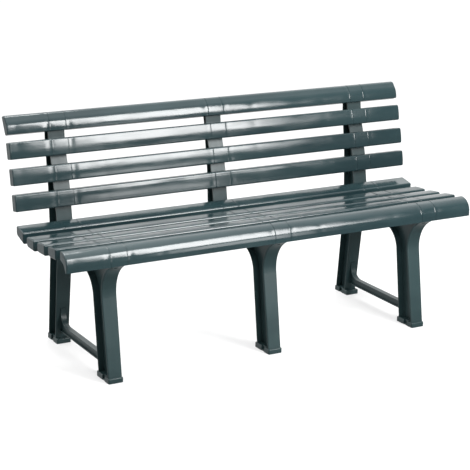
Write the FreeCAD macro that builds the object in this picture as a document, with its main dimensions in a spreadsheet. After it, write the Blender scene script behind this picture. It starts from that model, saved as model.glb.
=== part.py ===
import FreeCAD, Part
import math
import os
import re
import Sketcher

# Three-seat garden bench in moulded plastic: nine hollow slats, each screwed to three
# H-section frames.  The two side frames carry a front leg, a rear leg with a low stretcher,
# a seat rail and an upright.  The middle frame has a front leg, a rail and an upright only.
#
# Millimetres and degrees.  +X runs along the bench, +Y to its back and +Z up.  The origin is
# on the ground under the middle of the bench's box.  Formulas count Y from the front face
# of the front feet; every sub-part's Placement then moves it to the origin.

DIMENSIONS = (
    # overall
    ("bench_length", 1450, "length of every slat"),
    ("seat_height", 432, "ground to the top of the front edge slat"),
    ("end_overhang", 168, "middle of a side frame to the slat ends"),
    ("lip_overhang", 28.5, "front lip of the seat ahead of the front feet"),
    ("rear_kick", 36.3, "heels of the rear feet behind the bend at the top of the rear legs"),
    # slats, all of them
    ("slat_wall", 3, "wall of every slat"),
    ("slat_edge_radius", 6, "long edges of the slats"),
    ("slat_end_radius", 4.5, "edges round the slat ends"),
    ("band_spread", 55, "distance between the two ribs over a frame"),
    ("rib_thickness", 2.5, "transverse ribs inside the slats"),
    ("groove_width", 2.4, "line that runs over the slat above each rib"),
    ("groove_depth", 0.6, "depth of that line"),
    ("boss_diameter", 12, "screw bosses inside the slats"),
    # seat slats
    ("seat_slat_width", 57, "top of a seat slat, front to back"),
    ("seat_slat_depth", 34, "front wall of a seat slat"),
    ("seat_slat_heel", 30, "rear wall of a seat slat"),
    ("seat_heel_radius", 13, "corner at the foot of the rear wall"),
    ("seat_crown", 1, "rise of the top between its edges"),
    ("crown_spread", 0.5, "share of a slat's width that the curve of its crown takes"),
    ("seat_gap", 26, "clear gap between seat slats, along Y"),
    ("edge_gap", 32, "gap behind the front edge slat"),
    ("front_drop", 4, "front seat slat below seat_height"),
    ("middle_drop", 13.7, "second seat slat below seat_height"),
    ("inner_drop", 22.4, "third seat slat below seat_height"),
    ("rear_drop", 21, "rear seat slat below seat_height"),
    ("front_tilt", 7, "fall of the front seat slat towards the back"),
    ("middle_tilt", 6.5, "fall of the second seat slat"),
    ("inner_tilt", 3, "fall of the third seat slat"),
    ("rear_tilt", -12, "the rear seat slat rises instead"),
    # front edge slat
    ("edge_slat_width", 49, "front edge slat, front to back"),
    ("edge_slat_depth", 57, "front lip, top to bottom"),
    ("edge_slat_heel", 24, "rear wall of the front edge slat"),
    ("edge_lip_radius", 42, "rounded front of the seat"),
    ("edge_lip_foot", 7.5, "lower end of the front lip, front to back"),
    ("edge_cheek_radius", 18, "curve of its end walls above the frame head"),
    ("edge_head_drop", 32, "frame head below the top of the front edge slat"),
    # back slats
    ("back_slat_width", 53, "height of a back slat"),
    ("back_slat_depth", 27, "thickness of a back slat"),
    ("back_crown", 2.5, "bulge of the front face between its edges"),
    ("back_tuck", 3.8, "lower back slat's foot ahead of the rear seat slat's rear edge"),
    ("back_clearance", 32, "seat_height to the foot of the lower back slat"),
    ("back_pitch", 78.5, "from one back slat's foot up to the next"),
    ("middle_step", 15.6, "second back slat behind the first"),
    ("upper_step", 19.9, "third back slat behind the second"),
    ("lower_lean", 9, "backward lean of the lower back slat"),
    ("centre_lean", 11, "lean of the second back slat"),
    ("upper_lean", 12.5, "lean of the third back slat"),
    # top slat
    ("top_slat_width", 62.5, "top slat along its back"),
    ("top_slat_depth", 19, "top slat at its lower edge"),
    ("top_slat_lip", 2, "how far its front lip hangs below its back"),
    ("top_bulge", 9, "bulge of its curved front"),
    ("top_bulge_along", 21, "middle of that bulge above the top slat's foot"),
    ("top_heel_inset", 3, "upper rear edge of the hood below the top slat's full width"),
    ("top_heel_drop", 1, "that edge behind the line of the foot's front"),
    ("top_front_radius", 50, "curve of its front"),
    ("top_nose_radius", 14, "curve over its top"),
    ("top_rise", 75.9, "third back slat's foot up to the top slat's"),
    ("top_step", 23.6, "top slat's foot behind the third back slat's"),
    ("top_lean", 26.5, "backward lean of the top slat"),
    # frames
    ("flange_thickness", 5, "flanges that follow the frame's outline"),
    ("web_thickness", 6, "web in the middle of the frame"),
    ("flange_rounding", 4, "outer long edges of the flanges"),
    ("leg_width", 45.5, "width of the frame at the ground, along X"),
    ("seat_rail_width", 52, "width of the frame at seat height"),
    ("upright_width", 56, "width of the frame at its top"),
    ("front_rake", 9.3, "slope of the front leg's front face"),
    ("front_back_rake", 7.5, "slope of the front leg's rear face"),
    ("front_leg_depth", 76, "front leg at the ground, front to back"),
    ("rear_leg_foot", 60, "rear leg at the ground, front to back"),
    ("rear_leg_top", 62, "rear leg under the rail, front to back"),
    ("rail_drop", 114, "seat_height to the underside of the rail"),
    ("hook_drop", 60, "seat_height to the tip of the hook under the front lip"),
    ("hook_reach", 18, "tip of the hook ahead of the front feet"),
    ("hook_slope", 30, "slope of the hook's underside"),
    ("hook_radius", 105, "curve from the front leg into the hook"),
    ("knee_radius", 78, "curve from the front leg into the rail"),
    ("rear_knee_radius", 57, "curve from the rail into the rear leg"),
    ("hip_drop", 102, "seat_height to the bend at the top of the rear leg"),
    ("hip_radius", 150, "that bend"),
    ("back_bend_radius", 300, "bends of the upright's rear face"),
    ("upright_foot_radius", 12, "curve from the rail into the upright"),
    ("upright_low_depth", 55, "side upright behind the lower back slat"),
    ("upright_high_depth", 37, "side upright behind the upper back slat"),
    ("middle_low_depth", 34, "middle upright behind the lower back slat"),
    ("middle_high_depth", 20, "middle upright behind the upper back slat"),
    ("upright_tip_depth", 13, "uprights at their top end"),
    ("upright_tip_length", 40, "top slat's back that the upright carries"),
    ("tail_rise", 30, "how far the middle rail's underside rises to its end"),
    ("tail_radius", 26, "corner at the end of the middle rail"),
    # feet and stretcher
    ("foot_height", 16, "foot plates"),
    ("foot_shoulder", 3, "rounded top edge of the foot plates"),
    ("foot_corner", 5, "corners of the foot plates, seen from above"),
    ("foot_width", 49, "foot plates along X"),
    ("foot_step", 3, "foot plate ahead of the leg's outer face"),
    ("front_foot_length", 89, "front foot plate, front to back"),
    ("rear_foot_length", 80, "rear foot plate, front to back"),
    ("foot_notch_start", 30, "notch in both sides of a foot plate, from its outer end"),
    ("foot_notch_length", 17, "length of that notch"),
    ("foot_notch_depth", 7, "depth of that notch"),
    ("stretcher_low", 39, "ground to the stretcher's underside"),
    ("stretcher_depth", 25, "height of the stretcher"),
    ("stretcher_width", 18, "width of the stretcher along X"),
    ("stretcher_flange", 3.5, "flanges of the stretcher"),
    ("gusset_rise", 54, "gusset above the stretcher on the rear leg"),
    ("gusset_radius", 40, "curve of the gusset"),
    ("gusset_foot", 6, "gusset's thickness ahead of the rear leg"),
    # screws
    ("screw_diameter", 5, "screw shank"),
    ("screw_length", 22, "screw under its head"),
    ("screw_head_diameter", 10, "screw head"),
    ("screw_head_height", 3.2, "screw head"),
    ("screw_tip", 4, "pointed end of the screw"),
    ("screw_offset", 13, "screws beside the web"),
    ("screw_clearance", 0.5, "flange hole over the screw shank"),
    ("driver_clearance", 2, "hole for the screwdriver over the screw head"),
    ("driver_reach", 90, "depth of that hole under the flange"),
    ("pilot_spare", 1, "pilot hole deeper than the screw"),
    # cutting bodies
    ("overrun", 12, "cutting bodies past the open side of a slat"),
    ("hole_spare", 1, "cutting bodies of the screw holes past both faces of a flange"),
)

FRAME_PLACES = ("left", "middle", "right")
SHEET_NAME = "Sizes"
TOUCHING = 0.01        # points nearer than this are the same point
CORNER_REACH = 1.1     # how far a rounded corner's ends lie from it, in radii
FRAME_PITCH = "(bench_length / 2 - end_overhang)"

doc = FreeCAD.newDocument("GardenBench")
sheet = doc.addObject("Spreadsheet::Sheet", SHEET_NAME)
for row, (alias, value, note) in enumerate(DIMENSIONS, start=1):
    sheet.set(f"A{row}", note)
    sheet.set(f"B{row}", str(value))
    sheet.setAlias(f"B{row}", alias)
doc.recompute()
ALIASES = {alias for alias, _, _ in DIMENSIONS}

probe = doc.addObject("App::FeaturePython", "Probe")
probe.addProperty("App::PropertyFloat", "Value")


# ---------------------------------------------------------------- formulas and bindings

def formula(text):
    """The text with each size name pointing at its cell."""
    def cell(match):
        word = match.group(0)
        return f"{SHEET_NAME}.{word}" if word in ALIASES else word
    return re.sub(r"[a-z_]+", cell, str(text))


def measure(text):
    """What a formula of size names comes to now."""
    probe.setExpression("Value", formula(text))
    probe.recompute()
    return probe.Value


def bind(thing, **formulas):
    """Tie properties to formulas."""
    for name, text in formulas.items():
        thing.setExpression(name, formula(text))


def place(thing, across="0", back="0", up="0", turn="0"):
    """Placement from formulas: a point, and a turn about X."""
    about_x = FreeCAD.Rotation(FreeCAD.Vector(1, 0, 0), 1)
    thing.Placement = FreeCAD.Placement(FreeCAD.Vector(), about_x)
    thing.setExpression("Placement.Base.x", formula(across))
    thing.setExpression("Placement.Base.y", formula(back))
    thing.setExpression("Placement.Base.z", formula(up))
    thing.setExpression("Placement.Rotation.Angle", formula(turn))


# ---------------------------------------------------------------- outlines and solids

def bind_corner(sketch, line, name, across, up):
    """Tie the start of a line to two formulas."""
    for kind, text in (("DistanceX", across), ("DistanceY", up)):
        rule = sketch.addConstraint(Sketcher.Constraint(kind, -1, 1, line, 1, measure(text)))
        sketch.renameConstraint(rule, f"{name}_{kind}")
        sketch.setExpression(f"Constraints.{name}_{kind}", formula(text))


def round_corner(sketch, line, name, radius):
    """Round the corner at the start of a line, with its radius tied to a formula."""
    sketch.fillet(line, 1, measure(radius), True, True)
    arcs = [index for index, curve in enumerate(sketch.Geometry)
            if isinstance(curve, Part.ArcOfCircle)]
    rule = sketch.addConstraint(Sketcher.Constraint("Radius", arcs[-1], measure(radius)))
    sketch.renameConstraint(rule, f"{name}_bend")
    sketch.setExpression(f"Constraints.{name}_bend", formula(radius))


SIDE_VIEW = FreeCAD.Rotation(FreeCAD.Vector(1, 1, 1), 120)
FRONT_VIEW = FreeCAD.Rotation(FreeCAD.Vector(1, 0, 0), 90)
TOP_VIEW = FreeCAD.Rotation()


def outline(name, corners, view=SIDE_VIEW):
    """Closed sketch through corners given as (across, up) or (across, up, radius)."""
    sketch = doc.addObject("Sketcher::SketchObject", name)
    points = [FreeCAD.Vector(measure(corner[0]), measure(corner[1]), 0) for corner in corners]
    for start, end in zip(points, points[1:] + points[:1]):
        sketch.addGeometry(Part.LineSegment(start, end))
    count = len(corners)
    for line in range(count):
        sketch.addConstraint(Sketcher.Constraint("Coincident", line, 2, (line + 1) % count, 1))
    for line, corner in enumerate(corners):
        bind_corner(sketch, line, f"corner{line}", corner[0], corner[1])
    doc.recompute()
    for line, corner in enumerate(corners):
        if len(corner) == 3:
            round_corner(sketch, line, f"corner{line}", corner[2])
    sketch.Placement = FreeCAD.Placement(FreeCAD.Vector(), view)
    return sketch


def extrude(name, sketch, length, start=None):
    """Solid from an outline: centred on its plane, or from a start distance along its normal."""
    solid = doc.addObject("Part::Extrusion", name)
    solid.Base = sketch
    solid.DirMode = "Normal"
    solid.Solid = True
    solid.Symmetric = start is None
    if start is None:
        bind(solid, LengthFwd=length)
    else:
        bind(solid, LengthFwd=f"{start} + {length}", LengthRev=f"0 - ({start})")
    return solid


def inset(name, sketch, distance):
    """Outline that lies inside another by a distance."""
    smaller = doc.addObject("Part::Offset2D", name)
    smaller.Source = sketch
    bind(smaller, Value=f"0 - {distance}")
    return smaller


def box(name, length, width, height, across, back, up):
    """Box with one corner at a point, all from formulas."""
    solid = doc.addObject("Part::Box", name)
    bind(solid, Length=length, Width=width, Height=height)
    place(solid, across, back, up)
    return solid


def cylinder(name, diameter, height, across, back, up, turn):
    """Cylinder from a point along Z, turned about X."""
    solid = doc.addObject("Part::Cylinder", name)
    bind(solid, Radius=f"{diameter} / 2", Height=height)
    place(solid, across, back, up, turn)
    return solid


def cut(name, base, tool):
    result = doc.addObject("Part::Cut", name)
    result.Base = base
    result.Tool = tool
    return result


def common(name, first, second):
    result = doc.addObject("Part::Common", name)
    result.Base = first
    result.Tool = second
    return result


def fuse(name, shapes):
    result = doc.addObject("Part::MultiFuse", name)
    result.Shapes = shapes
    return result


def round_edges(name, base, chosen, radius):
    """Fillet on the edges that chosen() accepts."""
    doc.recompute()
    size = measure(radius)
    result = doc.addObject("Part::Fillet", name)
    result.Base = base
    result.Edges = [(number, size, size) for number, edge in enumerate(base.Shape.Edges, start=1)
                    if chosen(edge)]
    return result


# ---------------------------------------------------------------- slats

def seat_section(tilt):
    """Seat slat: upright walls, a top that falls by the tilt, and a lower rear wall."""
    rear_across = f"seat_slat_width * cos({tilt})"
    rear_up = f"(0 - seat_slat_width * sin({tilt}))"

    def face(depth):
        crown_bend = "crown_spread * seat_slat_width ^ 2 / 4 / seat_crown"
        return [(f"{rear_across} - {depth}", f"{rear_up} - {depth}", f"slat_edge_radius - {depth}"),
                (f"{rear_across} / 2", f"{rear_up} / 2 + seat_crown - {depth}", crown_bend),
                (depth, f"0 - {depth}", f"slat_edge_radius - {depth}")]

    underside = [("0", "0 - seat_slat_depth"),
                 (rear_across, f"{rear_up} - seat_slat_heel", "seat_heel_radius")]
    return {"face": face, "underside": underside, "depth": "seat_slat_depth", "width": rear_across,
            "seat": (underside[0][:2], underside[1][:2])}


def edge_section():
    """Front edge slat: a quarter-round hood with a long front lip."""
    def face(depth):
        return [(f"edge_slat_width - {depth}", f"0 - {depth}", f"slat_edge_radius - {depth}"),
                (depth, f"0 - {depth}", f"edge_lip_radius - {depth}")]

    underside = [("0", "0 - edge_slat_depth"), ("edge_lip_foot", "0 - edge_slat_depth"),
                 ("edge_slat_width / 2 - slat_wall", "0 - edge_head_drop - slat_wall",
                  "edge_cheek_radius"),
                 ("edge_slat_width", "0 - edge_slat_heel")]
    return {"face": face, "underside": underside, "depth": "edge_slat_depth", "width": "edge_slat_width",
            "seat": (("lip_overhang - hook_reach", "0 - edge_head_drop"),
                     ("edge_slat_width - slat_wall * 2", "0 - edge_head_drop"))}


def back_section():
    """Back slat: a shallow channel with a bulging front face."""
    def face(depth):
        crown_bend = "crown_spread * back_slat_width ^ 2 / 4 / back_crown"
        return [(f"back_slat_width - {depth}", f"0 - {depth}", f"slat_edge_radius - {depth}"),
                ("back_slat_width / 2", f"back_crown - {depth}", crown_bend),
                (depth, f"0 - {depth}", f"slat_edge_radius - {depth}")]

    underside = [("0", "0 - back_slat_depth"), ("back_slat_width", "0 - back_slat_depth")]
    return {"face": face, "underside": underside, "depth": "back_slat_depth", "width": "back_slat_width",
            "seat": tuple(underside)}


def top_section():
    """Top slat: a hood that curves back over the ends of the uprights."""
    def face(depth):
        return [(f"top_slat_width - top_heel_inset - {depth} / 2", f"0 - top_heel_drop - {depth}",
                 f"top_nose_radius - {depth}"),
                ("top_bulge_along", f"top_bulge - {depth}", f"top_front_radius - {depth}"),
                (f"{depth} - top_slat_lip", f"0 - {depth}", f"(slat_edge_radius - {depth}) / 2")]

    underside = [("0", "0 - top_slat_depth"), ("top_slat_width", "0 - top_slat_depth")]
    return {"face": face, "underside": underside, "depth": "top_slat_depth", "width": "top_slat_width",
            "seat": (("0", "0 - top_slat_depth"), ("upright_tip_length", "0 - top_slat_depth"))}


def seat_start(number):
    """Front edge of a seat slat, counted from the front."""
    return f"(edge_slat_width - lip_overhang + edge_gap + {number} * (seat_slat_width + seat_gap))"


LOWER_BACK = f"({seat_start(3)} + seat_slat_width * cos(rear_tilt) - back_tuck)"
LOWER_FOOT = "(seat_height + back_clearance)"
SLATS = {
    "front_edge_slat": {"section": edge_section(), "back": "(0 - lip_overhang)", "up": "seat_height",
                        "turn": "0", "offset": "0"},
    "seat_slat_front": {"section": seat_section("front_tilt"), "back": seat_start(0),
                        "up": "(seat_height - front_drop)", "turn": "0", "offset": "screw_offset"},
    "seat_slat_second": {"section": seat_section("middle_tilt"), "back": seat_start(1),
                         "up": "(seat_height - middle_drop)", "turn": "0", "offset": "screw_offset"},
    "seat_slat_third": {"section": seat_section("inner_tilt"), "back": seat_start(2),
                        "up": "(seat_height - inner_drop)", "turn": "0", "offset": "screw_offset"},
    "seat_slat_rear": {"section": seat_section("rear_tilt"), "back": seat_start(3),
                       "up": "(seat_height - rear_drop)", "turn": "0", "offset": "screw_offset"},
    "back_slat_lower": {"section": back_section(), "back": LOWER_BACK, "up": LOWER_FOOT,
                        "turn": "(90 - lower_lean)", "offset": "screw_offset"},
    "back_slat_centre": {"section": back_section(), "back": f"({LOWER_BACK} + middle_step)",
                         "up": f"({LOWER_FOOT} + back_pitch)", "turn": "(90 - centre_lean)",
                         "offset": "screw_offset"},
    "back_slat_upper": {"section": back_section(), "back": f"({LOWER_BACK} + middle_step + upper_step)",
                        "up": f"({LOWER_FOOT} + 2 * back_pitch)", "turn": "(90 - upper_lean)",
                        "offset": "screw_offset"},
    "top_slat": {"section": top_section(),
                 "back": f"({LOWER_BACK} + middle_step + upper_step + top_step)",
                 "up": f"({LOWER_FOOT} + 2 * back_pitch + top_rise)", "turn": "(90 - top_lean)",
                 "offset": "screw_offset"},
}
SEAT_SLATS = [name for name in SLATS if not name.startswith(("back", "top"))]
BACK_SLATS = [name for name in SLATS if name not in SEAT_SLATS]


def on_slat(name, along, out):
    """Bench position, as two formulas, of a point in a slat's own axes."""
    slat = SLATS[name]
    turn = slat["turn"]
    return (f"({slat['back']} + ({along}) * cos({turn}) - ({out}) * sin({turn}))",
            f"({slat['up']} + ({along}) * sin({turn}) + ({out}) * cos({turn}))")


def screw_seat(name):
    """Middle of the face where a slat meets its frames, in the slat's axes, and its slope."""
    (start_along, start_out), (end_along, end_out) = SLATS[name]["section"]["seat"]
    return (f"(({start_along}) + ({end_along})) / 2", f"(({start_out}) + ({end_out})) / 2",
            f"atan((({end_out}) - ({start_out})) / (({end_along}) - ({start_along}))) / 1 deg")


def on_screw_line(name, inward):
    """Point on a slat's screw axis, an amount under the slat's seat, and the axis's turn."""
    along, out, slope = screw_seat(name)
    turn = f"{SLATS[name]['turn']} + {slope}"
    back, up = on_slat(name, along, out)
    return f"{back} + ({inward}) * sin({turn})", f"{up} - ({inward}) * cos({turn})", turn


def frame_middle(index):
    """X of a frame's middle plane: left, middle, right."""
    return f"({index - 1} * {FRAME_PITCH})"


def make_slat(name):
    """Hollow slat with end walls, a pair of ribs and a screw boss over each frame, and fine lines."""
    slat = SLATS[name]
    section = slat["section"]
    depth = section["depth"]
    width = section["width"]
    wide_open = [("slat_wall", f"0 - {depth} - overrun"),
                 (f"{width} - slat_wall", f"0 - {depth} - overrun")]
    line_open = [("groove_depth", f"0 - {depth} - overrun"),
                 (f"{width} - groove_depth", f"0 - {depth} - overrun")]
    profile = outline(name + "_outline", section["underside"] + section["face"]("0"))
    skin = extrude(name + "_skin", profile, "bench_length")

    end = measure("bench_length") / 2
    reach = measure("slat_edge_radius") * CORNER_REACH
    corners = [(measure(corner[0]), measure(corner[1])) for corner in section["underside"]]

    def touches_underside(point):
        return any(math.hypot(point.y - across, point.z - up) < reach for across, up in corners)

    def around_end(edge):
        bounds = edge.BoundBox
        flat = bounds.XLength < TOUCHING and abs(abs(bounds.Center.x) - end) < TOUCHING
        lower_edge = all(touches_underside(vertex.Point) for vertex in edge.Vertexes)
        return flat and not lower_edge

    rounded = round_edges(name + "_rounded", skin, around_end, "slat_end_radius")
    core = outline(name + "_core", wide_open + section["face"]("slat_wall"))
    hollow = extrude(name + "_hollow", core, "bench_length - 2 * slat_wall")

    along, out, slope = screw_seat(name)
    stiffeners, pilots, lines = [], [], []
    for index, frame in enumerate(FRAME_PLACES):
        middle = frame_middle(index)
        screw_across = f"{middle} + {slat['offset']}"
        boss_along = f"{along} + {depth} / 2 * sin({slope})"
        boss_out = f"{out} - {depth} / 2 * cos({slope})"
        stiffeners.append(cylinder(f"{name}_boss_{frame}", "boss_diameter", f"2 * {depth}",
                                   screw_across, boss_along, boss_out, slope))
        pilots.append(cylinder(f"{name}_pilot_{frame}", "screw_diameter",
                               "screw_length - flange_thickness + pilot_spare",
                               screw_across, along, out, slope))
        for side in (-1, 1):
            band = f"{middle} + {side} * band_spread / 2"
            tag = f"{frame}_{'after' if side > 0 else 'before'}"
            for bars, kind, thickness in ((stiffeners, "rib", "rib_thickness"),
                                          (lines, "line", "groove_width")):
                bars.append(box(f"{name}_{kind}_{tag}", thickness, f"2 * {width}", f"3 * {depth}",
                                f"{band} - {thickness} / 2", f"0 - {width} / 2", f"0 - 2 * {depth}"))
    bays = cut(name + "_bays", hollow, fuse(name + "_stiffeners", stiffeners))
    line_core = outline(name + "_line_core", line_open + section["face"]("groove_depth"))
    under_lines = extrude(name + "_under_lines", line_core, "bench_length")
    line_cuts = cut(name + "_line_cuts", fuse(name + "_lines", lines), under_lines)
    shell = cut(name + "_shell", rounded, bays)
    scored = cut(name + "_scored", shell, line_cuts)
    finished = cut(name, scored, fuse(name + "_pilots", pilots))
    place(finished, "0", f"{slat['back']} + {SHIFT}", slat["up"], slat["turn"])
    return finished


# ---------------------------------------------------------------- frames

RAIL_UNDERSIDE = "(seat_height - rail_drop)"
FRONT_LEG_BACK = "(foot_step + front_leg_depth)"


def seats_of(names):
    """Outline corners where the frame carries the named slats, in order."""
    corners = []
    for name in names:
        for along, out in SLATS[name]["section"]["seat"]:
            corners.append(on_slat(name, along, out))
    return corners


def behind(name, amount):
    """Point behind the upper end of a slat's seat, by an amount along Y."""
    along, out = SLATS[name]["section"]["seat"][1]
    back, up = on_slat(name, along, out)
    return f"({back} + {amount})", up


def hip(low_depth):
    """Bend between the rear leg and the upright."""
    lower_back, _ = on_slat("back_slat_lower", "0", "0 - back_slat_depth")
    return f"({lower_back} + {low_depth})"


REAR_FOOT = f"({hip('upright_low_depth')} + rear_kick)"
REAR_LEG_FRONT = f"({REAR_FOOT} - foot_step - rear_leg_foot)"
SHIFT = f"((lip_overhang - {REAR_FOOT}) / 2)"
UPRIGHT_FOOT = (f"{on_slat('back_slat_lower', '0', '0 - back_slat_depth')[0]} - upright_foot_radius",
                "(seat_height - rear_drop - seat_slat_depth / 2)", "upright_foot_radius")


def front_leg_corners():
    """Front leg from its heel round the sole and up the front face to the hook, in order."""
    hook_up = "(seat_height - hook_drop)"
    rise = f"(({hook_up}) - tan(hook_slope) * (foot_step + hook_reach))"
    meet_up = f"({rise} / (1 + tan(hook_slope) * tan(front_rake)))"
    return [(FRONT_LEG_BACK, "0"),
            ("foot_step", "0"),
            (f"foot_step + {meet_up} * tan(front_rake)", meet_up, "hook_radius"),
            ("0 - hook_reach", hook_up)]


def back_corners(low_depth, high_depth):
    """Top of the upright and down its rear face to the bend."""
    return [behind("top_slat", "upright_tip_depth"),
            behind("back_slat_upper", high_depth) + ("back_bend_radius",),
            behind("back_slat_lower", low_depth) + ("back_bend_radius",)]


def frame_outline(kind):
    """Side view of a frame: round the front leg, over the seat, up the back and down again."""
    corners = front_leg_corners() + seats_of(SEAT_SLATS) + [UPRIGHT_FOOT] + seats_of(BACK_SLATS)
    knee_across = f"{FRONT_LEG_BACK} + {RAIL_UNDERSIDE} * tan(front_back_rake)"
    if kind == "side":
        bend = hip("upright_low_depth")
        corners += back_corners("upright_low_depth", "upright_high_depth")
        corners += [(bend, "(seat_height - hip_drop)", "hip_radius"),
                    (f"{REAR_FOOT} - foot_step", "0"),
                    (REAR_LEG_FRONT, "0"),
                    (f"{bend} - rear_leg_top", RAIL_UNDERSIDE, "rear_knee_radius")]
    else:
        tail = hip("middle_low_depth")
        corners += back_corners("middle_low_depth", "middle_high_depth")
        corners += [(tail, f"{RAIL_UNDERSIDE} + tail_rise", "tail_radius"),
                    (f"{tail} - 2 * rear_leg_top", RAIL_UNDERSIDE, "knee_radius")]
    corners.append((knee_across, RAIL_UNDERSIDE, "knee_radius"))
    return outline(f"{kind}_frame_outline", corners)


def h_section(name, sketch, width, flange, web):
    """Plate with a flange round its outline and a thin web in the middle."""
    plate = extrude(name + "_plate", sketch, width)
    floor = inset(name + "_inside", sketch, flange)
    near = extrude(name + "_recess_near", floor, width, f"{web} / 2")
    doc.recompute()
    far = doc.addObject("Part::Mirroring", name + "_recess_far")
    far.Source = near
    far.Normal = FreeCAD.Vector(1, 0, 0)
    return cut(name + "_section", plate, fuse(name + "_recesses", [near, far]))


def foot_plate(name, start, length, outward):
    """Foot plate with a notch in each side; outward is -1 when its outer end is the front one."""
    half = "foot_width / 2"
    waist = "(foot_width / 2 - foot_notch_depth)"
    outer = start if outward < 0 else f"({start} + {length})"
    inner = f"({start} + {length})" if outward < 0 else start
    first = f"({outer} + {-outward} * foot_notch_start)"
    second = f"({outer} + {-outward} * (foot_notch_start + foot_notch_length))"
    stations = [(half, outer, "foot_corner"), (half, first), (waist, first), (waist, second),
                (half, second), (half, inner, "foot_corner")]
    mirrored = [(f"0 - {corner[0]}",) + corner[1:] for corner in reversed(stations)]
    sole = outline(name + "_outline", stations + mirrored, TOP_VIEW)
    plate = extrude(name + "_plate", sole, "foot_height", "0")
    doc.recompute()
    top = plate.Shape.BoundBox.ZMax

    def on_top(edge):
        return edge.BoundBox.ZMin > top - TOUCHING

    return round_edges(name, plate, on_top, "foot_shoulder")


def make_stretcher():
    """Low bar between the legs of a side frame, with a curved gusset on the rear leg."""
    top = "(stretcher_low + stretcher_depth)"
    lean = f"({hip('upright_low_depth')} - rear_leg_top - {REAR_LEG_FRONT})"
    rear_slope = f"({lean} / {RAIL_UNDERSIDE})"
    sunk = "flange_thickness / 2"

    def rear_face(up):
        return f"({REAR_LEG_FRONT} + ({up}) * {rear_slope})"

    def front_face(up):
        return f"({FRONT_LEG_BACK} + ({up}) * tan(front_back_rake))"

    gusset_top = f"({top} + gusset_rise)"
    corners = [(f"{front_face('stretcher_low')} - {sunk}", "stretcher_low"),
               (f"{rear_face('stretcher_low')} + {sunk}", "stretcher_low"),
               (f"{rear_face(gusset_top)} + {sunk}", gusset_top),
               (f"{rear_face(gusset_top)} - {sunk}", gusset_top),
               (f"{rear_face(top)} - gusset_foot", top, "gusset_radius"),
               (f"{front_face(top)} - {sunk}", top)]
    return h_section("stretcher", outline("stretcher_outline", corners), "stretcher_width",
                     "stretcher_flange", "web_thickness")


def width_profile():
    """Front view that narrows the frames from the top of the back down to the feet."""
    above = f"({SLATS['top_slat']['up']} + 2 * top_slat_width)"
    right = [("leg_width / 2", "0 - foot_height"), ("seat_rail_width / 2", "seat_height"),
             ("upright_width / 2", above)]
    left = [(f"0 - {across}", up) for across, up in reversed(right)]
    return extrude("width_profile", outline("width_outline", right + left, FRONT_VIEW), "4 * seat_height")


def screw_holes(prefix):
    """Screw hole in the flange under each slat, and a wider one behind it for the driver."""
    bores = (("hole", "screw_diameter + screw_clearance", "flange_thickness + hole_spare",
              "flange_thickness + 2 * hole_spare"),
             ("access", "screw_head_diameter + driver_clearance", "driver_reach",
              "driver_reach - flange_thickness"))
    tools = []
    for name, slat in SLATS.items():
        for kind, diameter, start, reach in bores:
            back, up, turn = on_screw_line(name, start)
            tools.append(cylinder(f"{prefix}_{kind}_{name}", f"({diameter})", reach,
                                  slat["offset"], back, up, turn))
    return fuse(prefix + "_holes", tools)


def carrying_line():
    """Line from the hook's tip over every slat's seat to the top of the upright."""
    corners = [front_leg_corners()[-1]] + seats_of(SEAT_SLATS) + [UPRIGHT_FOOT] + seats_of(BACK_SLATS)
    corners.append(behind("top_slat", "upright_tip_depth"))
    return Part.makePolygon([FreeCAD.Vector(0, measure(corner[0]), measure(corner[1]))
                             for corner in corners])


def round_rims(kind, beam):
    """Round the outer long edges of a frame's flanges where no slat sits on them."""
    doc.recompute()
    outer = doc.getObject(f"{kind}_frame_outline").Shape
    carried = carrying_line()
    off_web = measure("web_thickness")
    near_line = measure("flange_thickness")

    def on_rim(edge):
        ends = [vertex.Point for vertex in edge.Vertexes]
        middle = edge.valueAt((edge.FirstParameter + edge.LastParameter) / 2)
        flat = Part.Vertex(FreeCAD.Vector(0, middle.y, middle.z))
        one_side = abs(ends[0].x - ends[-1].x) < off_web
        on_side = one_side and all(abs(point.x) > off_web for point in ends)
        on_outline = outer.distToShape(flat)[0] < TOUCHING
        off_ground = middle.z > TOUCHING
        return on_side and on_outline and off_ground and carried.distToShape(flat)[0] > near_line

    return round_edges(f"{kind}_rounded", beam, on_rim, "flange_rounding")


def make_frames():
    """The two equal side frames and the middle frame."""
    profile = width_profile()
    stretcher = make_stretcher()
    frames = []
    blanks = {}
    for kind in ("side", "middle"):
        beam = h_section(f"{kind}_frame", frame_outline(kind), "2 * upright_width", "flange_thickness",
                         "web_thickness")
        pieces = [round_rims(kind, common(f"{kind}_tapered", beam, profile)),
                  foot_plate(f"{kind}_front_foot", "0", "front_foot_length", -1)]
        if kind == "side":
            heel = f"({REAR_FOOT} - rear_foot_length)"
            pieces.append(foot_plate("side_rear_foot", heel, "rear_foot_length", 1))
            pieces.append(stretcher)
        blanks[kind] = (fuse(f"{kind}_blank", pieces), screw_holes(kind))
    for index, side in enumerate(FRAME_PLACES):
        blank, holes = blanks["middle" if side == "middle" else "side"]
        frame = cut(f"{side}_frame", blank, holes)
        place(frame, frame_middle(index), SHIFT, "0")
        frames.append(frame)
    return frames


# ---------------------------------------------------------------- screws

def make_screw():
    """Pan-head screw along +Z, with the underside of its head at the origin."""
    head = cylinder("screw_head", "screw_head_diameter", "screw_head_height",
                    "0", "0", "0 - screw_head_height", "0")
    shank = cylinder("screw_shank", "screw_diameter", "screw_length - screw_tip",
                     "0", "0", "0", "0")
    tip = doc.addObject("Part::Cone", "screw_point")
    bind(tip, Radius1="screw_diameter / 2", Radius2="screw_diameter / 10", Height="screw_tip")
    place(tip, "0", "0", "screw_length - screw_tip")
    return fuse("screw", [head, shank, tip])


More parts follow.
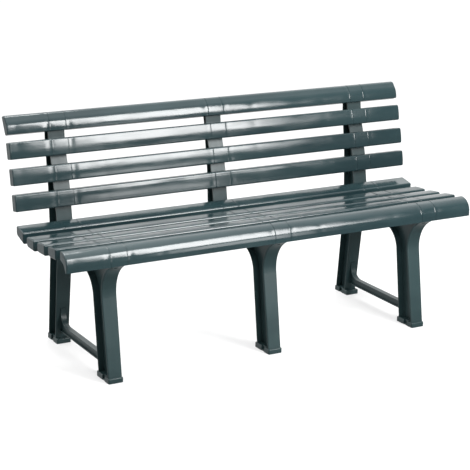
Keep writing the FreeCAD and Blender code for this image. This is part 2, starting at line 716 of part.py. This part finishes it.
def make_screws(screw):
    """One group of screws for the seat and one for the back of each frame."""
    groups = []
    for index, side in enumerate(FRAME_PLACES):
        for region, names in (("seat", SEAT_SLATS), ("back", BACK_SLATS)):
            links = []
            for name in names:
                back, up, turn = on_screw_line(name, "flange_thickness")
                link = doc.addObject("App::Link", f"{side}_screw_{name}")
                link.LinkedObject = screw
                place(link, f"{frame_middle(index)} + {SLATS[name]['offset']}", back, up, turn)
                links.append(link)
            group = doc.addObject("Part::Compound", f"{side}_{region}_screws")
            group.Links = links
            place(group, "0", SHIFT, "0")
            groups.append(group)
    return groups


# ---------------------------------------------------------------- build, check and write

def check(parts):
    """Stop if any object failed or any sub-part's shape is missing or broken."""
    for thing in doc.Objects:
        if "Invalid" in thing.State or "Error" in thing.State:
            raise RuntimeError(f"{thing.Name} failed: {thing.State}")
    for part in parts:
        if part.Shape.isNull() or not part.Shape.isValid():
            raise RuntimeError(f"{part.Label} has no sound shape")


def main():
    parts = [make_slat(name) for name in SLATS]
    parts += make_frames()
    parts += make_screws(make_screw())
    for part in parts:
        part.Label = part.Name
    doc.recompute()
    check(parts)
    os.makedirs("parts", exist_ok=True)
    for part in parts:
        part.Shape.exportStep(f"parts/{part.Label}.step")
        bounds = part.Shape.BoundBox
        print(f"{part.Label}: {len(part.Shape.Solids)} solid(s), {part.Shape.Volume / 1000:.1f} cm3, "
              f"Y {bounds.YMin:.1f}..{bounds.YMax:.1f}, Z {bounds.ZMin:.1f}..{bounds.ZMax:.1f}")


main()
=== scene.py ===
import math

import bpy
from mathutils import Matrix, Vector


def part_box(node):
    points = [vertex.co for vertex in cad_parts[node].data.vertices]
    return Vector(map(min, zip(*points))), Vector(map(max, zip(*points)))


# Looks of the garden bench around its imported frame.  Metres; +X runs along the bench, +Y to
# its back and +Z up.

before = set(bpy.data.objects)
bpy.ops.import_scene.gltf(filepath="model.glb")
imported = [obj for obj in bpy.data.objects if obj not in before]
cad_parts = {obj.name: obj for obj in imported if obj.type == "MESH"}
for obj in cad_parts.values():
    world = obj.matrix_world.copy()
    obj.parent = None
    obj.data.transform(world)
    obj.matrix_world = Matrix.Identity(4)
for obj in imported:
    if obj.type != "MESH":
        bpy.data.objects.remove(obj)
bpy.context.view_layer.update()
scene = bpy.context.scene

# ---------------------------------------------------------------- pieces of the frame

SLATS = ("front_edge_slat", "seat_slat_front", "seat_slat_second", "seat_slat_third",
         "seat_slat_rear", "back_slat_lower", "back_slat_centre", "back_slat_upper", "top_slat")
FRAMES = ("left_frame", "middle_frame", "right_frame")
SCREWS = tuple(f"{side}_{region}_screws"
               for side in ("left", "middle", "right") for region in ("seat", "back"))


def middle_x(node):
    low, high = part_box(node)
    return (low[0] + high[0]) / 2


FRAME_PITCH = middle_x("right_frame") - middle_x("middle_frame")


# ---------------------------------------------------------------- shader helpers

MIX_AMOUNT, MIX_FIRST, MIX_SECOND, MIX_COLOUR = 0, 6, 7, 2     # colour sockets of a Mix node


def new_material(name):
    material = bpy.data.materials.new(name)
    material.use_nodes = True
    nodes = material.node_tree.nodes
    nodes.clear()
    shader = nodes.new("ShaderNodeBsdfPrincipled")
    output = nodes.new("ShaderNodeOutputMaterial")
    material.node_tree.links.new(shader.outputs[0], output.inputs["Surface"])
    return material, shader


class Wires:
    """Short names for making and joining the nodes of one tree."""

    def __init__(self, tree):
        self.tree = tree

    def add(self, kind, **settings):
        node = self.tree.nodes.new("ShaderNode" + kind)
        for name, value in settings.items():
            setattr(node, name, value)
        return node

    def join(self, source, target):
        if isinstance(source, (int, float, tuple)):
            target.default_value = source
        else:
            self.tree.links.new(source, target)

    def math(self, operation, *values):
        node = self.add("Math", operation=operation)
        for value, socket in zip(values, node.inputs):
            self.join(value, socket)
        return node.outputs[0]

    def ramp(self, value, low, high, to_low=0.0, to_high=1.0):
        node = self.add("MapRange", interpolation_type="SMOOTHSTEP")
        for item, socket in zip((value, low, high, to_low, to_high), node.inputs):
            self.join(item, socket)
        return node.outputs[0]

    def noise(self, where, scale, detail, stretch=(1.0, 1.0, 1.0)):
        mapping = self.add("Mapping")
        mapping.inputs["Scale"].default_value = tuple(scale * part for part in stretch)
        self.join(where, mapping.inputs["Vector"])
        node = self.add("TexNoise")
        node.inputs["Scale"].default_value = 1.0
        node.inputs["Detail"].default_value = detail
        self.join(mapping.outputs[0], node.inputs["Vector"])
        return node.outputs[0]

    def blend(self, amount, first, second):
        node = self.add("Mix", data_type="RGBA")
        self.join(amount, node.inputs[MIX_AMOUNT])
        self.join(first, node.inputs[MIX_FIRST])
        self.join(second, node.inputs[MIX_SECOND])
        return node.outputs[MIX_COLOUR]

    def bump(self, height, distance, below=None):
        node = self.add("Bump")
        node.inputs["Strength"].default_value = 1.0
        node.inputs["Distance"].default_value = distance
        self.join(height, node.inputs["Height"])
        if below is not None:
            self.join(below, node.inputs["Normal"])
        return node.outputs[0]


# ---------------------------------------------------------------- materials

# Shrinkage in a slat's skin, by distance along the slat from the middle of the nearest frame.
BAND_HALF = 0.0275      # half the width of the sunk band over a frame
BAND_EDGE = 0.002       # half the width of the step at the band's edge
BAND_SINK = 0.0003
# Distance, spread and depth of each mark.  A negative depth stands proud.
SHRINK_MARKS = (
    (BAND_HALF + 0.009, 0.010, 0.00035),    # sink outside a rib
    (BAND_HALF, 0.0016, -0.0003),           # ridge on a rib
    (0.14, 0.014, 0.00022),                 # sink between two frames
)

# Noise patterns: how many features to a metre, and how finely broken up.
CLOUD = {"scale": 9.0, "detail": 3.0, "stretch": (0.35, 1.0, 1.0)}      # drift of the colour
SWELL = {"scale": 7.0, "detail": 1.0, "stretch": (1.0, 2.2, 2.2)}       # slow waves of the skin
SMUDGE = {"scale": 38.0, "detail": 4.0}                                 # drift of the gloss
PEEL = {"scale": 420.0, "detail": 2.0}                                  # fine moulded texture
GRAIN = {"scale": 900.0, "detail": 3.0}                                 # brushing of the screws
CLOUD_RANGE = (0.35, 0.65)
GLOSS_RANGE = (0.3, 0.7)
PEEL_DEPTH = 0.00002
MARKS_IN_METRES = 1.0
PLASTIC_IOR = 1.5
STEEL_DARK = (0.50, 0.51, 0.52, 1)
STEEL_LIGHT = (0.68, 0.69, 0.70, 1)
STEEL_ROUGHNESS = (0.28, 0.42)


def shrink_marks(wires, where):
    """Height of the marks that the ribs leave in a slat's skin."""
    parts = wires.add("SeparateXYZ")
    wires.join(where, parts.inputs[0])
    from_frame = wires.math("PINGPONG", parts.outputs[0], FRAME_PITCH / 2)

    def dent(place, width, depth):
        off = wires.math("DIVIDE", wires.math("SUBTRACT", from_frame, place), width)
        squared = wires.math("MULTIPLY", off, off)
        fall = wires.math("EXPONENT", wires.math("MULTIPLY", squared, -1.0))
        return wires.math("MULTIPLY", fall, -depth)

    total = wires.ramp(from_frame, BAND_HALF - BAND_EDGE, BAND_HALF + BAND_EDGE, -BAND_SINK, 0.0)
    for mark in SHRINK_MARKS:
        total = wires.math("ADD", total, dent(*mark))
    return total


def moulded_plastic(name, dark, light, roughness, spread, streak, wave, gloss, banded):
    """Dark plastic whose colour, gloss and skin drift a little over its length."""
    material, shader = new_material(name)
    wires = Wires(material.node_tree)
    where = wires.add("TexCoord").outputs["Object"]
    cloud = wires.noise(where, **CLOUD)
    tint = wires.blend(wires.ramp(cloud, *CLOUD_RANGE), dark, light)
    wires.join(tint, shader.inputs["Base Color"])
    smudge = wires.noise(where, stretch=streak, **SMUDGE)
    dullness = wires.ramp(smudge, *GLOSS_RANGE, roughness - spread, roughness + spread)
    wires.join(dullness, shader.inputs["Roughness"])
    shader.inputs["IOR"].default_value = PLASTIC_IOR
    shader.inputs["Specular IOR Level"].default_value = gloss
    swell = wires.noise(where, **SWELL)
    peel = wires.noise(where, **PEEL)
    shape = wires.bump(swell, wave)
    if banded:
        shape = wires.bump(shrink_marks(wires, where), MARKS_IN_METRES, shape)
    shape = wires.bump(peel, PEEL_DEPTH, shape)
    wires.join(shape, shader.inputs["Normal"])
    return material


def steel(name):
    material, shader = new_material(name)
    wires = Wires(material.node_tree)
    where = wires.add("TexCoord").outputs["Object"]
    shader.inputs["Metallic"].default_value = 1.0
    grain = wires.noise(where, **GRAIN)
    wires.join(wires.blend(grain, STEEL_DARK, STEEL_LIGHT), shader.inputs["Base Color"])
    wires.join(wires.ramp(grain, *GLOSS_RANGE, *STEEL_ROUGHNESS), shader.inputs["Roughness"])
    return material


slat_plastic = moulded_plastic(
    "slat_plastic", dark=(0.010, 0.022, 0.025, 1), light=(0.015, 0.030, 0.033, 1),
    roughness=0.17, spread=0.05, streak=(0.25, 1.0, 1.0), wave=0.0012, gloss=0.5, banded=True)
frame_plastic = moulded_plastic(
    "frame_plastic", dark=(0.012, 0.026, 0.028, 1), light=(0.017, 0.034, 0.036, 1),
    roughness=0.36, spread=0.03, streak=(2.0, 1.0, 0.12), wave=0.0003, gloss=0.34, banded=False)
screw_steel = steel("screw_steel")


def dress(names, material):
    for name in names:
        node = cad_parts[name]
        for slot in node.material_slots:
            slot.link = "OBJECT"
            slot.material = material


dress(SLATS, slat_plastic)
dress(FRAMES, frame_plastic)
dress(SCREWS, screw_steel)


# ---------------------------------------------------------------- floor

FLOOR_REACH = 30.0
FLOOR_TINT = (0.34, 0.34, 0.34, 1)
FLOOR_ROUGHNESS = 0.7
FLOOR_GLOSS = 0.2
FLOOR_GLOW = 0.5        # lifts the floor to white, so that only the deepest shadows show
WHITE = (1, 1, 1, 1)


def make_floor():
    mesh = bpy.data.meshes.new("floor")
    corners = [(-FLOOR_REACH, -FLOOR_REACH, 0), (FLOOR_REACH, -FLOOR_REACH, 0),
               (FLOOR_REACH, FLOOR_REACH, 0), (-FLOOR_REACH, FLOOR_REACH, 0)]
    mesh.from_pydata(corners, [], [(0, 1, 2, 3)])
    floor = bpy.data.objects.new("floor", mesh)
    scene.collection.objects.link(floor)
    material, shader = new_material("floor_white")
    shader.inputs["Base Color"].default_value = FLOOR_TINT
    shader.inputs["Roughness"].default_value = FLOOR_ROUGHNESS
    shader.inputs["Specular IOR Level"].default_value = FLOOR_GLOSS
    shader.inputs["Emission Color"].default_value = WHITE
    shader.inputs["Emission Strength"].default_value = FLOOR_GLOW
    mesh.materials.append(material)
    floor.visible_glossy = False


make_floor()


# ---------------------------------------------------------------- light

# The studio by height, which is 0 at the horizon and 1 overhead: a low and a high end of a
# ramp, then the value at each.
FRONT_SKY = (0.6, 0.95, 0.25, 2.7)      # radiance in front of the bench
BACK_SKY = (0.3, 0.62, 1.35, 3.2)       # radiance behind it
BACK_DIMMER = (-0.2, 0.02, 0.6, 1.0)    # factor on the back, less than 1 under the horizon
# How far a direction points to the back, where the front ends and where the back is whole.
FRONT_TO_BACK = (-0.1, 0.55)


def make_world():
    """White behind the bench for the camera, and a studio dark in front for all else."""
    world = bpy.data.worlds.new("studio")
    scene.world = world
    world.use_nodes = True
    tree = world.node_tree
    tree.nodes.clear()
    wires = Wires(tree)
    output = wires.add("OutputWorld")
    direction = wires.add("TexCoord").outputs["Generated"]
    parts = wires.add("SeparateXYZ")
    wires.join(direction, parts.inputs[0])
    _, towards_back, up = parts.outputs
    front = wires.ramp(up, *FRONT_SKY)
    back = wires.math("MULTIPLY", wires.ramp(up, *BACK_SKY), wires.ramp(up, *BACK_DIMMER))
    share = wires.ramp(towards_back, *FRONT_TO_BACK)
    rest = wires.math("SUBTRACT", 1.0, share)
    around = wires.math("ADD", wires.math("MULTIPLY", share, back),
                        wires.math("MULTIPLY", rest, front))
    studio = wires.add("Background")
    wires.join(around, studio.inputs["Strength"])
    backdrop = wires.add("Background")
    backdrop.inputs["Strength"].default_value = 1.0
    backdrop.inputs["Color"].default_value = WHITE
    seen = wires.add("LightPath").outputs["Is Camera Ray"]
    choice = wires.add("MixShader")
    wires.join(seen, choice.inputs[0])
    wires.join(studio.outputs[0], choice.inputs[1])
    wires.join(backdrop.outputs[0], choice.inputs[2])
    wires.join(choice.outputs[0], output.inputs["Surface"])


make_world()


def away_from_bench(azimuth, elevation):
    """Direction from the bench in degrees: azimuth 0 is in front and 90 beyond the +X end."""
    turn, rise = math.radians(azimuth), math.radians(elevation)
    return Vector((math.sin(turn) * math.cos(rise), -math.cos(turn) * math.cos(rise),
                   math.sin(rise)))


def soft_box(name, azimuth, elevation, distance, width, height, radiance, aim):
    """Rectangular light of a given brightness that looks at a point from a direction."""
    data = bpy.data.lights.new(name, "AREA")
    data.shape = "RECTANGLE"
    data.size = width
    data.size_y = height
    data.energy = radiance * width * height * math.pi
    light = bpy.data.objects.new(name, data)
    scene.collection.objects.link(light)
    away = away_from_bench(azimuth, elevation)
    light.location = Vector(aim) + away * distance
    light.rotation_mode = "QUATERNION"
    light.rotation_quaternion = (-away).to_track_quat("-Z", "Y")
    light.visible_camera = False


BENCH_MIDDLE = (0.0, 0.0, 0.45)
LEFT_THIRD = (-0.55, 0.0, 0.45)
FRONT_LIP = (-0.19, -0.25, 0.40)
# Azimuth and elevation in degrees, distance, width, height, radiance and aim.
soft_box("front_box", 26, 31, 3.2, 1.15, 2.07, 21.5, BENCH_MIDDLE)
soft_box("low_box", 30, -1, 1.38, 0.55, 0.38, 6.0, FRONT_LIP)
soft_box("top_box", 180, 78, 2.6, 1.8, 0.6, 16.0, LEFT_THIRD)
soft_box("left_box", -72, 20, 3.2, 0.35, 1.8, 5.0, BENCH_MIDDLE)
soft_box("glint_box", -12, 27, 3.2, 0.45, 1.9, 14.0, BENCH_MIDDLE)


# ---------------------------------------------------------------- camera

CAMERA_AZIMUTH = -29.866
CAMERA_ELEVATION = 16.048
CAMERA_ROLL = math.radians(1.031)
CAMERA_AIM = Vector((-0.0264, 0.0043, 0.3373))
CAMERA_DISTANCE = 4.827
LENS_MM = 114.44
SENSOR_MM = 36.0


def make_camera():
    back = away_from_bench(CAMERA_AZIMUTH, CAMERA_ELEVATION)
    turn = math.radians(CAMERA_AZIMUTH)
    level = Vector((math.cos(turn), math.sin(turn), 0))
    upright = back.cross(level)
    right = level * math.cos(CAMERA_ROLL) + upright * math.sin(CAMERA_ROLL)
    up = upright * math.cos(CAMERA_ROLL) - level * math.sin(CAMERA_ROLL)
    data = bpy.data.cameras.new("camera")
    data.lens = LENS_MM
    data.sensor_width = SENSOR_MM
    camera = bpy.data.objects.new("camera", data)
    scene.collection.objects.link(camera)
    axes = Matrix((right, up, back)).transposed()
    place = Matrix.Translation(CAMERA_AIM + back * CAMERA_DISTANCE)
    camera.matrix_world = place @ axes.to_4x4()
    scene.camera = camera


make_camera()
scene.view_settings.view_transform = "Standard"
scene.view_settings.look = "None"
